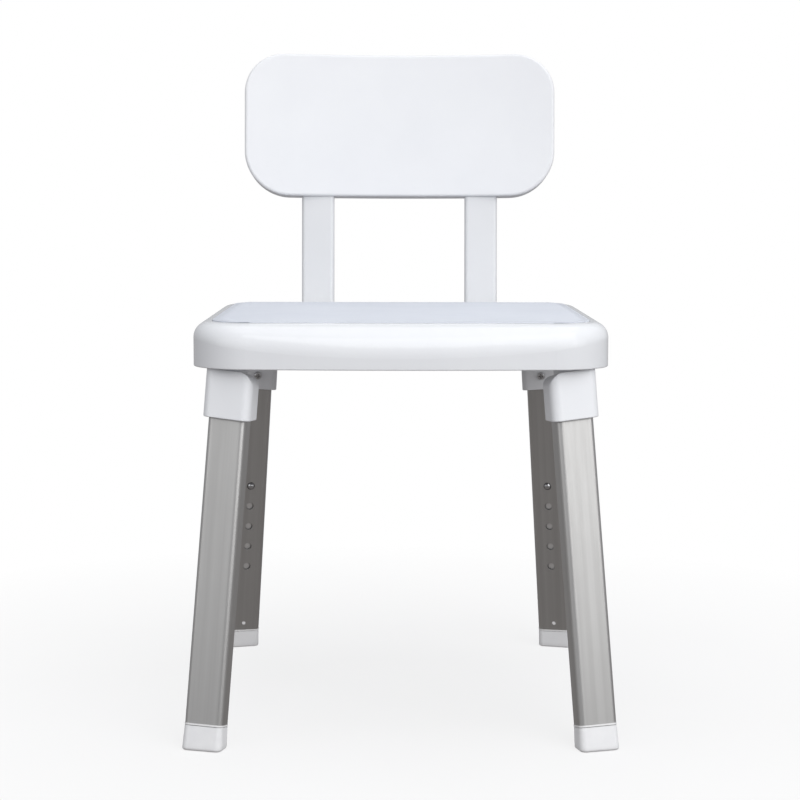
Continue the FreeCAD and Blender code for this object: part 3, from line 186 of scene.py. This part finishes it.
def drawn_aluminium(name, direction, pale, dull, gloss):
    """Satin anodised tube: fine lines drawn along the extrusion, soft clouds, a painted highlight on the edges and
    painted shade in holes and gaps.
    """
    made = Shader(name, metallic=1.0)
    turn = Vector(direction).rotation_difference(Vector((0, 0, 1))).to_euler()
    straight = made.node("ShaderNodeMapping")
    straight.inputs["Rotation"].default_value = turn
    made.link(made.place, straight.inputs["Vector"])
    stretch = made.node("ShaderNodeMapping")
    stretch.inputs["Scale"].default_value = (1.0, 1.0, 0.012)
    made.link(straight.outputs["Vector"], stretch.inputs["Vector"])
    along = stretch.outputs["Vector"]
    lines = made.noise(1500.0, 3.0, 0.6, along)
    broad = made.noise(180.0, 3.0, 0.5, along)
    cloud = made.noise(14.0, 3.0, 0.5)
    colour = made.mix(made.spread(broad, 0.0, 1.0), pale, dull)
    colour = made.mix(made.spread(cloud, 0.0, 0.25), colour, dull)
    # painted highlight: convex edges lightened towards a pale metal colour
    colour = made.mix(made.edges(0.0008, 0.0, 0.15), colour, PAINTED_EDGE_HIGHLIGHT)
    # painted shade: the tube colour darkened in holes, gaps and inner corners
    colour = made.mix(made.painted_shade_mask(0.003, 0.0, 0.85), colour, PAINTED_HOLE_SHADE)
    rough = made.spread(lines, gloss[0], gloss[1])
    return made.finish(colour, rough, made.bump(lines, 0.00003, 0.35))


def grip_rubber(name, pale, dull):
    """Soft pale rubber of the feet, a little scuffed, darker where it meets the floor."""
    made = Shader(name, specular_ior_level=0.35)
    mottle = made.spread(made.noise(70.0, 5.0, 0.6), 0.0, 1.0)
    colour = made.mix(mottle, pale, dull)
    height = made.node("ShaderNodeSeparateXYZ")
    made.link(made.place, height.inputs["Vector"])
    low = made.spread(height.outputs["Z"], 0.35, 0.0, 0.0, 0.006)
    colour = made.mix(low, colour, SOLE_GREY)
    rough = made.spread(made.noise(120.0, 4.0, 0.6), 0.48, 0.66)
    return made.finish(colour, rough, made.bump(made.noise(900.0, 3.0, 0.6), 0.00006, 0.6))


def bright_steel(name, colour, gloss, scale):
    """Plated or spring steel with faint tool marks and painted shade in holes and gaps."""
    made = Shader(name, metallic=1.0)
    marks = made.noise(scale, 4.0, 0.6)
    shade = made.mix(made.spread(marks, 0.0, 1.0), colour, tuple(0.86 * part for part in colour))
    # painted shade: the steel colour darkened in holes, gaps and inner corners
    shade = made.mix(made.painted_shade_mask(0.002, 0.0, 0.85), shade, PAINTED_RIM_SHADE)
    rough = made.spread(marks, gloss[0], gloss[1])
    return made.finish(shade, rough, made.bump(marks, 0.00002, 0.4))


# ---- materials of the CAD nodes ------------------------------------------------------------

WHITE = (0.86, 0.875, 0.90)
WHITE_DULL = (0.83, 0.845, 0.875)
BACK_WHITE = (0.90, 0.912, 0.935)
BACK_DULL = (0.87, 0.882, 0.91)

RUBBER_PALE = (0.92, 0.925, 0.935)
RUBBER_DULL = (0.88, 0.885, 0.90)
MAT_BLUE = (0.70, 0.73, 0.79)
MAT_DULL = (0.66, 0.69, 0.755)
COAT_WHITE = (0.80, 0.81, 0.825)
COAT_DULL = (0.77, 0.78, 0.80)
BUSH_WHITE = (0.90, 0.90, 0.90)
BUSH_DULL = (0.86, 0.86, 0.86)

SEAT = moulded_plastic("seat_plastic_look", WHITE, WHITE_DULL, (0.06, 0.10), 700.0, 0.00001)
BACK = moulded_plastic("back_plastic_look", BACK_WHITE, BACK_DULL, (0.34, 0.44), 900.0, 0.00005)
SOCKET = moulded_plastic("socket_plastic_look", WHITE, WHITE_DULL, (0.30, 0.40), 900.0, 0.00004)
BUSH = moulded_plastic("bush_plastic_look", BUSH_WHITE, BUSH_DULL, (0.35, 0.45), 1000.0, 0.00003)
COATING = moulded_plastic("post_coating_look", COAT_WHITE, COAT_DULL, (0.26, 0.36), 500.0, 0.00003)
MAT = moulded_plastic("panel_plastic_look", MAT_BLUE, MAT_DULL, (0.46, 0.58), 1400.0, 0.00006, 0.35)
RUBBER = grip_rubber("foot_rubber_look", RUBBER_PALE, RUBBER_DULL)
SPRING = bright_steel("spring_steel_look", (0.46, 0.46, 0.47), (0.28, 0.42), 400.0)
CHROME = bright_steel("button_chrome_look", (0.55, 0.55, 0.56), (0.06, 0.12), 900.0)
SCREW = bright_steel("screw_steel_look", (0.62, 0.62, 0.63), (0.22, 0.36), 700.0)

SLOT_LOOKS = {
    "seat_plastic": SEAT,
    "back_plastic": BACK,
    "socket_plastic": SOCKET,
    "bush_plastic": BUSH,
    "post_coating": COATING,
    "panel_plastic": MAT,
    "foot_rubber": RUBBER,
    "spring_steel": SPRING,
    "button_chrome": CHROME,
    "screw_steel": SCREW,
}

joint_axes = {joint["child"]: joint["axis"] for joint in frame["joints"]}

LEG_PALE = (0.58, 0.575, 0.565)
LEG_DULL = (0.51, 0.505, 0.495)
INNER_PALE = (0.86, 0.855, 0.85)
INNER_DULL = (0.80, 0.795, 0.79)

for leg in LEGS:
    axis = joint_axes["leg_" + leg]
    outer = drawn_aluminium(f"leg_aluminium_{leg}", axis, LEG_PALE, LEG_DULL, (0.34, 0.46))
    inner = drawn_aluminium(f"inner_aluminium_{leg}", axis, INNER_PALE, INNER_DULL, (0.36, 0.50))
    nodes["outer_tube_" + leg].material_slots[0].material = outer
    nodes["inner_tube_" + leg].material_slots[0].material = inner

for item in frame["record"]["materials"]:
    look = SLOT_LOOKS.get(item["slot"])
    for name, node in nodes.items():
        if look and node.material_slots[0].material.name.split(".")[0] == item["slot"]:
            node.material_slots[0].material = look

# ---- seat mat ------------------------------------------------------------------------------

MAT_THICK = 0.0033
MAT_FRONT_RADIUS = 0.040
MAT_REAR_RADIUS = 0.028
RIB_PITCH = 0.005
RIB_HEIGHT = 0.0008
RIB_BORDER = 0.008
ROW_STEP = 0.0005
RIB_START = 0.002
EDGE_CROWN = 0.0006
EDGE_ROUND = 0.0012
LEAST_HALF = 0.001
COLUMNS = 48


def corner_inset(distance, radius):
    """How far a rounded corner draws the side in, at a distance from the end of the plan."""
    if distance >= radius:
        return 0.0
    return radius - math.sqrt(radius**2 - (radius - distance) ** 2)


def smooth_step(part):
    """Rises smoothly from 0 to 1 as part does."""
    part = min(max(part, 0.0), 1.0)
    return part * part * (3 - 2 * part)


def ribbed_mat():
    """The non-slip mat: a rounded plan with fine ribs from side to side inside a plain border."""
    low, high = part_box("seat_panel")
    wide = high.x - low.x
    deep = high.y - low.y
    slope = math.asin((high.z - low.z - MAT_THICK) / deep)
    rows = round(deep / ROW_STEP)
    points = []
    faces = []
    for row in range(rows + 1):
        y = deep * row / rows
        half = wide / 2 - max(corner_inset(y, MAT_FRONT_RADIUS), corner_inset(deep - y, MAT_REAR_RADIUS))
        half = max(half, LEAST_HALF)
        wave = 0.5 - 0.5 * math.cos(2 * math.pi * y / RIB_PITCH)
        end = min(y, deep - y)
        for column in range(COLUMNS + 1):
            across = math.sin(math.pi / 2 * (2 * column / COLUMNS - 1))
            x = half * across
            edge = min(half - abs(x), end)
            rise = RIB_HEIGHT * wave**2 * smooth_step((edge - RIB_BORDER) / RIB_START)
            crown = -EDGE_CROWN * (1 - smooth_step(edge / EDGE_ROUND))
            points.append((x, y - deep / 2, rise + crown))
    for row in range(rows):
        for column in range(COLUMNS):
            start = row * (COLUMNS + 1) + column
            faces.append((start, start + 1, start + COLUMNS + 2, start + COLUMNS + 1))
    mesh = bpy.data.meshes.new("seat_mat")
    mesh.from_pydata(points, [], faces)
    piece = bpy.data.objects.new("seat_mat", mesh)
    scene.collection.objects.link(piece)
    centre = Vector(((low.x + high.x) / 2, (low.y + high.y) / 2, (low.z + high.z + MAT_THICK) / 2))
    mesh.transform(Matrix.Translation(centre) @ Matrix.Rotation(slope, 4, "X"))
    mesh.shade_smooth()
    thick = piece.modifiers.new("thickness", "SOLIDIFY")
    thick.thickness = MAT_THICK
    thick.offset = -1
    mesh.materials.append(MAT)
    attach(piece, "frame")
    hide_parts("seat_panel")


ribbed_mat()

# ---- spring clips --------------------------------------------------------------------------


def flexing_clip(leg):
    """The clip as modelled, copied into a piece of its own in spring steel, with the CAD clip hidden."""
    made = nodes["spring_clip_" + leg]
    mesh = made.data.copy()
    mesh.transform(made.matrix_world)
    piece = bpy.data.objects.new("flexing_clip_" + leg, mesh)
    scene.collection.objects.link(piece)
    piece.material_slots[0].material = SPRING
    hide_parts("spring_clip_" + leg)
    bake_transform(piece)


for leg in LEGS:
    flexing_clip(leg)

# ---- studio --------------------------------------------------------------------------------

FLOOR_RADIUS = 9.0
FLOOR_STEPS = 96
FLOOR_GLOW = 0.21
FLOOR_ALPHA = 0.3
FLOOR_FADE = (0.15, 0.9)
FLOOR_DROP = 0.0002
FLOOR_PALE = (0.63, 0.63, 0.65)
FLOOR_DULL = (0.57, 0.57, 0.58)
FLOOR_GLOW_COLOUR = (0.985, 0.99, 1.0, 1.0)
ROOM_LOW = (0.36, (0.225, 0.212, 0.207, 1))
ROOM_HIGH = (0.50, (0.45, 0.455, 0.47, 1))


def pale_floor():
    """A round, sheer, pale floor that fades into the white surround and lets a longer leg show through."""
    mesh = bpy.data.meshes.new("floor")
    turns = [2 * math.pi * step / FLOOR_STEPS for step in range(FLOOR_STEPS)]
    rim = [(FLOOR_RADIUS * math.cos(turn), FLOOR_RADIUS * math.sin(turn), 0) for turn in turns]
    mesh.from_pydata(rim, [], [range(FLOOR_STEPS)])
    floor = bpy.data.objects.new("floor", mesh)
    floor.location.z = cad_box[0].z - FLOOR_DROP
    scene.collection.objects.link(floor)
    made = Shader("floor_look", specular_ior_level=0.0, roughness=0.9, emission_strength=FLOOR_GLOW)
    made.surface.inputs["Emission Color"].default_value = FLOOR_GLOW_COLOUR
    distance = made.node("ShaderNodeVectorMath", operation="LENGTH")
    made.link(made.place, distance.inputs[0])
    alpha = made.spread(distance.outputs["Value"], FLOOR_ALPHA, 0.0, *FLOOR_FADE)
    made.link(alpha, made.surface.inputs["Alpha"])
    cloud = made.spread(made.noise(3.0), 0.0, 1.0)
    mesh.materials.append(made.finish(made.mix(cloud, FLOOR_PALE, FLOOR_DULL)))
    floor.visible_glossy = False
    floor.visible_diffuse = False
    floor.visible_shadow = False


def surround():
    """White all round for the view, and a soft grey room, darker below, for light and reflections."""
    world = bpy.data.worlds.new("surround")
    scene.world = world
    world.use_nodes = True
    tree = world.node_tree
    tree.nodes.clear()
    place = tree.nodes.new("ShaderNodeTexCoord")
    split = tree.nodes.new("ShaderNodeSeparateXYZ")
    ramp = tree.nodes.new("ShaderNodeValToRGB")
    room = tree.nodes.new("ShaderNodeBackground")
    plain = tree.nodes.new("ShaderNodeBackground")
    path = tree.nodes.new("ShaderNodeLightPath")
    choose = tree.nodes.new("ShaderNodeMixShader")
    out = tree.nodes.new("ShaderNodeOutputWorld")
    tree.links.new(place.outputs["Generated"], split.inputs[0])
    rise = tree.nodes.new("ShaderNodeMapRange")
    rise.inputs["From Min"].default_value = -1.0
    tree.links.new(split.outputs["Z"], rise.inputs["Value"])
    tree.links.new(rise.outputs["Result"], ramp.inputs["Fac"])
    for stop, (position, colour) in zip(ramp.color_ramp.elements, (ROOM_LOW, ROOM_HIGH)):
        stop.position = position
        stop.color = colour
    tree.links.new(ramp.outputs["Color"], room.inputs["Color"])
    room.inputs["Strength"].default_value = 1.0
    plain.inputs["Color"].default_value = (1, 1, 1, 1)
    tree.links.new(path.outputs["Is Camera Ray"], choose.inputs["Fac"])
    tree.links.new(room.outputs[0], choose.inputs[1])
    tree.links.new(plain.outputs[0], choose.inputs[2])
    tree.links.new(choose.outputs[0], out.inputs["Surface"])


# name, place, width, height, power in watts, and whether glossy surfaces mirror it
LIGHTS = (
    ("key", (0.7, -1.6, 2.6), 2.6, 1.8, 24, True),
    ("top", (0.0, 0.3, 2.6), 2.2, 2.2, 9, True),
    ("right_panel", (1.7, -2.6, 1.5), 2.2, 2.0, 16, True),
    ("left_panel", (-1.7, -2.6, 1.5), 2.2, 2.0, 5.0, True),
    ("front_fill", (1.3, -2.8, 1.6), 1.6, 1.2, 18, False),
    ("right_side", (2.3, -1.5, 1.0), 1.2, 1.4, 5.5, True),
    ("left_side", (-2.3, -1.5, 1.0), 1.2, 1.4, 3.5, True),
)
AIM = (0, 0, 0.40)


def softbox(name, place, wide, tall, watts, mirrored):
    """A rectangular light that faces the middle of the chair."""
    light = bpy.data.lights.new(name, "AREA")
    light.shape = "RECTANGLE"
    light.size = wide
    light.size_y = tall
    light.energy = watts
    lamp = bpy.data.objects.new(name, light)
    lamp.location = place
    lamp.rotation_euler = (Vector(AIM) - Vector(place)).to_track_quat("-Z", "Y").to_euler()
    lamp.visible_glossy = mirrored
    scene.collection.objects.link(lamp)


# lens and sensor in millimetres, place in metres, angles in degrees
LENS = 83.16
SENSOR = 36.0
EYE = (-0.011, -2.009, 0.5214)
LOOK_DOWN = 5.673
LOOK_RIGHT = 0.31
LEAN = 0.1


def camera():
    """The view: from just below the backrest's height, straight on, looking a little down."""
    lens = bpy.data.cameras.new("camera")
    lens.lens = LENS
    lens.sensor_width = SENSOR
    eye = bpy.data.objects.new("camera", lens)
    eye.location = EYE
    pitch = Matrix.Rotation(math.radians(90 - LOOK_DOWN), 4, "X")
    yaw = Matrix.Rotation(math.radians(-LOOK_RIGHT), 4, "Z")
    roll = Matrix.Rotation(math.radians(LEAN), 4, "Z")
    eye.rotation_euler = (yaw @ pitch @ roll).to_euler()
    scene.collection.objects.link(eye)
    scene.camera = eye


pale_floor()
surround()
for light in LIGHTS:
    softbox(*light)
camera()
scene.view_settings.view_transform = "Standard"
